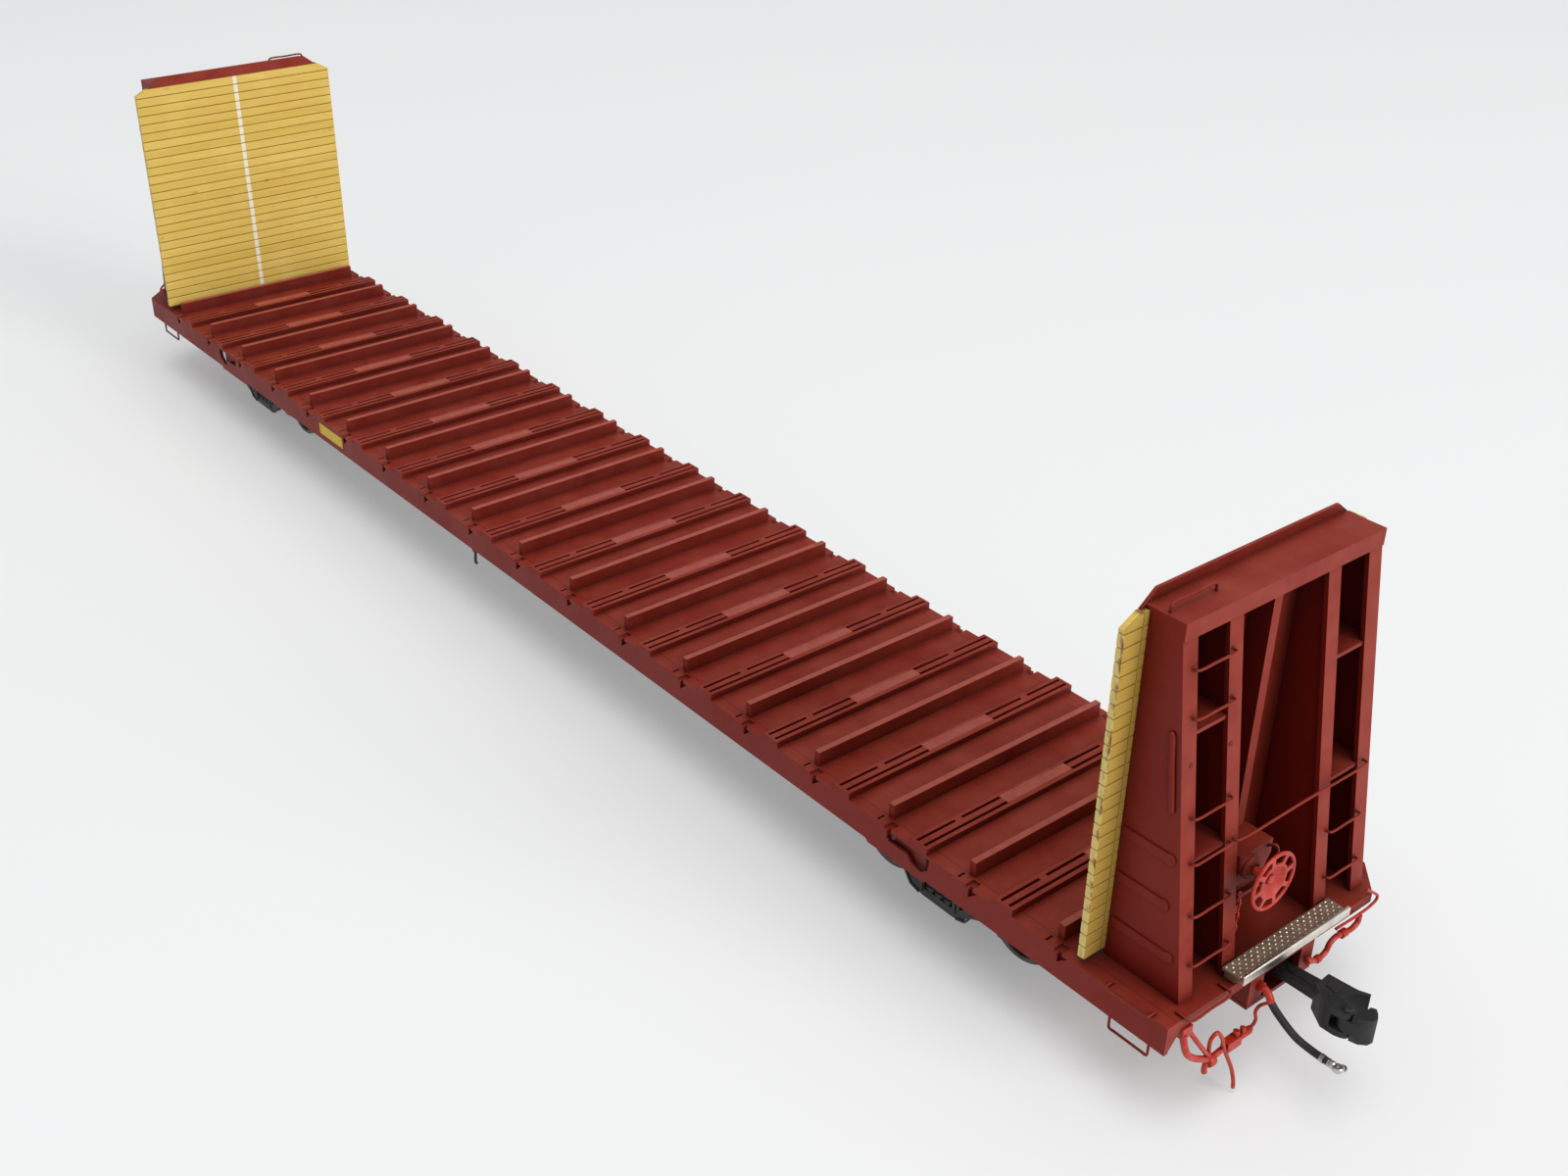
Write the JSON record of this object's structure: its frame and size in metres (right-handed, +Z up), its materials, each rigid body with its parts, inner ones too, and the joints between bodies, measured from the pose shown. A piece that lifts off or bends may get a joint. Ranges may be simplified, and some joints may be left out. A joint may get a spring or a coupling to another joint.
{
  "type": "model bulkhead flat car",
  "caption": "HO-scale railway flat car: ribbed deck between two boarded end bulkheads, on swivelling trucks with knuckle couplers.",
  "frame": {"origin": "mid-length and mid-width, at the bottom of the wheel flanges", "axes": "+X along the car towards the hand-brake end, +Z up, +Y to the left when looking along +X"},
  "size_m": [0.2577, 0.035, 0.0534],
  "materials": {
    "black_plastic": "satin",
    "body_red": "satin paint, dusted",
    "bronze": "spring bronze",
    "coupler_metal": "blackened",
    "piping_red": "satin",
    "rubber": "matte",
    "steel": "bright",
    "tread_steel": "worn bright",
    "wheel_metal": "darkened",
    "wood_yellow": "flat, washed in the grooves"
  },
  "bodies": {
    "car_body": {"deck": "body_red", "underframe": "black_plastic", "ballast_weight": "steel", "bulkhead_frame_b": "body_red", "bulkhead_frame_a": "body_red", "bulkhead_lining_b": "wood_yellow", "bulkhead_lining_a": "wood_yellow", "crossover_platform_b": "tread_steel", "crossover_platform_a": "tread_steel", "brake_housing": "body_red", "brake_chain": "body_red", "brake_cylinder": "black_plastic", "air_reservoir": "black_plastic", "control_valve": "black_plastic", "train_line_pipe": "piping_red", "air_hose_b": "rubber", "air_hose_a": "rubber", "glad_hand_b": "steel", "glad_hand_a": "steel", "uncoupling_lever_b": "piping_red", "uncoupling_lever_a": "piping_red", "branch_pipe_b": "piping_red", "branch_pipe_a": "piping_red", "sill_step_end_b": "body_red", "sill_step_end_a": "body_red", "sill_step_inner_b": "body_red", "sill_step_inner_a": "body_red", "truck_screw_a": "steel", "truck_screw_b": "steel", "draft_box_b": "body_red", "draft_box_a": "body_red", "draft_box_lid_b": "body_red", "draft_box_lid_a": "body_red", "draft_box_screw_b": "steel", "draft_box_screw_a": "steel", "centering_spring_b": "bronze", "centering_spring_a": "bronze"},
    "hand_wheel": {"brake_wheel": "piping_red"},
    "truck_a": {"truck_bolster_a": "black_plastic", "truck_sideframe_a_left": "black_plastic", "truck_sideframe_a_right": "black_plastic"},
    "wheelset_a_inner": {"axle_a_inner": "steel", "wheel_a_inner_left": "wheel_metal", "wheel_a_inner_right": "wheel_metal"},
    "wheelset_a_outer": {"axle_a_outer": "steel", "wheel_a_outer_left": "wheel_metal", "wheel_a_outer_right": "wheel_metal"},
    "truck_b": {"truck_bolster_b": "black_plastic", "truck_sideframe_b_left": "black_plastic", "truck_sideframe_b_right": "black_plastic"},
    "wheelset_b_inner": {"axle_b_inner": "steel", "wheel_b_inner_left": "wheel_metal", "wheel_b_inner_right": "wheel_metal"},
    "wheelset_b_outer": {"axle_b_outer": "steel", "wheel_b_outer_left": "wheel_metal", "wheel_b_outer_right": "wheel_metal"},
    "coupler_b": {"coupler_body_b": "coupler_metal"},
    "coupler_a": {"coupler_body_a": "coupler_metal"},
    "knuckle_b": {"coupler_knuckle_b": "coupler_metal"},
    "knuckle_a": {"coupler_knuckle_a": "coupler_metal"}
  },
  "joints": [
    {"name": "truck_a_swivel", "type": "hinge", "parent": "car_body", "child": "truck_a", "pos_m": [-0.0833, 0, 0.0099], "axis": [0, 0, 1], "range_deg": [-10, 10]},
    {"name": "wheelset_a_inner_spin", "type": "hinge", "parent": "truck_a", "child": "wheelset_a_inner", "pos_m": [-0.07315, 0, 0.0054], "axis": [0, 1, 0], "continuous": true},
    {"name": "wheelset_a_outer_spin", "type": "hinge", "parent": "truck_a", "child": "wheelset_a_outer", "pos_m": [-0.09345, 0, 0.0054], "axis": [0, 1, 0], "continuous": true},
    {"name": "coupler_a_swing", "type": "hinge", "parent": "car_body", "child": "coupler_a", "pos_m": [-0.1116, 0, 0.01072], "axis": [0, 0, 1], "range_deg": [-8, 8], "stiffness_Nm_per_rad": 0.0004},
    {"name": "knuckle_a_open", "type": "hinge", "parent": "coupler_a", "child": "knuckle_a", "pos_m": [-0.1262, 0.0017, 0.01072], "axis": [0, 0, -1], "range_deg": [0, 25], "stiffness_Nm_per_rad": 0.0002},
    {"name": "truck_b_swivel", "type": "hinge", "parent": "car_body", "child": "truck_b", "pos_m": [0.0833, 0, 0.0099], "axis": [0, 0, 1], "range_deg": [-10, 10]},
    {"name": "wheelset_b_inner_spin", "type": "hinge", "parent": "truck_b", "child": "wheelset_b_inner", "pos_m": [0.07315, 0, 0.0054], "axis": [0, 1, 0], "continuous": true},
    {"name": "wheelset_b_outer_spin", "type": "hinge", "parent": "truck_b", "child": "wheelset_b_outer", "pos_m": [0.09345, 0, 0.0054], "axis": [0, 1, 0], "continuous": true},
    {"name": "coupler_b_swing", "type": "hinge", "parent": "car_body", "child": "coupler_b", "pos_m": [0.1116, 0, 0.01072], "axis": [0, 0, 1], "range_deg": [-11.5, 4.5], "stiffness_Nm_per_rad": 0.0004},
    {"name": "knuckle_b_open", "type": "hinge", "parent": "coupler_b", "child": "knuckle_b", "pos_m": [0.12628, -0.00081, 0.01072], "axis": [0, 0, -1], "range_deg": [0, 25], "stiffness_Nm_per_rad": 0.0002},
    {"name": "brake_wheel_spin", "type": "hinge", "parent": "car_body", "child": "hand_wheel", "pos_m": [0.1185, -0.00485, 0.0245], "axis": [1, 0, 0], "continuous": true}
  ]
}
